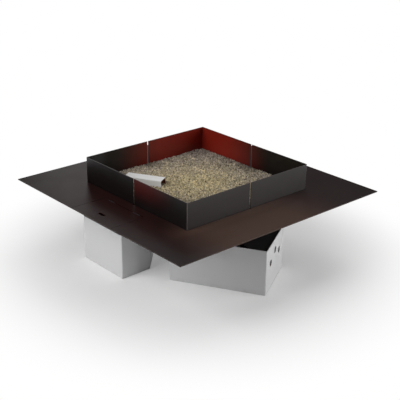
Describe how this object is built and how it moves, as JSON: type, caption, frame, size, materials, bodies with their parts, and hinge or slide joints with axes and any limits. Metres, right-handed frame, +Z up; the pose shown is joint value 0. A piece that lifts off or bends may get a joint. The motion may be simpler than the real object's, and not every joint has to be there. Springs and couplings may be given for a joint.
{
  "type": "gas fire pit table",
  "caption": "Square steel fire pit table on leg boxes set in a star, with a slotted wind guard round a bed of stones on a grate, and a control compartment under a hinged lid.",
  "frame": {"origin": "on the ground under the middle of the table top", "axes": "+Z up; the access lid and the control compartment face -Y; the leg box with the service ports points 30 degrees from +X towards +Y"},
  "size_m": [1.2, 1.2, 0.477],
  "materials": {
    "top_coat": "dark brown-black satin powder coat",
    "guard_coat": "dark brown-black satin powder coat, heat stained inside",
    "leg_coat": "pale grey fine-texture powder coat",
    "black_coat": "matt black powder coat",
    "zinc": "zinc-plated steel",
    "stainless": "stainless steel, slightly heat tinted",
    "white_steel": "white enamelled steel",
    "brass": "turned brass",
    "copper": "drawn copper tube",
    "rubber": "black rubber",
    "knob_plastic": "black moulded plastic, white index line",
    "red_plastic": "red moulded plastic",
    "ceramic": "white glazed ceramic",
    "stone": "crushed tan and grey stone"
  },
  "bodies": {
    "table": {"table_top": "top_coat", "guard_front_left": "guard_coat", "guard_front_right": "guard_coat", "guard_rear_right": "guard_coat", "guard_rear_left": "guard_coat", "guard_screws": "zinc", "guard_nuts": "zinc", "hinge_fixed_leaves": "black_coat", "hinge_pins": "zinc", "control_tray": "black_coat", "tray_gasket": "rubber", "tray_studs": "zinc", "tray_nuts": "zinc", "control_panel": "stainless", "gas_valve": "brass", "igniter_barrel": "knob_plastic", "igniter_spring": "zinc", "burner_housing": "black_coat", "housing_studs": "zinc", "housing_nuts": "zinc", "burner_pan": "stainless", "burner_hub": "stainless", "burner_arms": "stainless", "burner_saddles": "stainless", "injector": "brass", "burner_line": "copper", "supply_line": "copper", "inlet_riser": "copper", "pilot_line": "copper", "line_grommets": "rubber", "media_grate": "black_coat", "stone_bed": "stone", "pilot_cover": "white_steel", "pilot_bracket": "stainless", "pilot_burner": "brass", "igniter_electrode": "ceramic", "thermocouple": "brass", "leg_front": "leg_coat", "leg_right": "leg_coat", "port_wall": "leg_coat", "leg_left": "leg_coat", "leg_bolts": "zinc", "leg_nuts": "zinc", "leg_glides": "rubber", "service_deck": "black_coat", "port_plate": "zinc", "inlet_fitting": "brass"},
    "lid": {"access_lid": "top_coat", "hinge_lid_leaves": "black_coat"},
    "knob": {"valve_stem": "zinc", "control_knob": "knob_plastic"},
    "button": {"igniter_button": "red_plastic"}
  },
  "joints": [
    {"name": "lid_hinge", "type": "hinge", "parent": "table", "child": "lid", "pos_m": [0, -0.42, 0.3524], "axis": [-1, 0, 0], "range_deg": [0, 100]},
    {"name": "knob_turn", "type": "hinge", "parent": "table", "child": "knob", "pos_m": [-0.06, -0.49, 0.335], "axis": [0, 0, 1], "range_deg": [0, 210]},
    {"name": "button_press", "type": "slide", "parent": "table", "child": "button", "axis": [0, 0, -1], "range_m": [0, 0.004], "stiffness_N_per_m": 400, "deforming": ["igniter_spring"]}
  ]
}
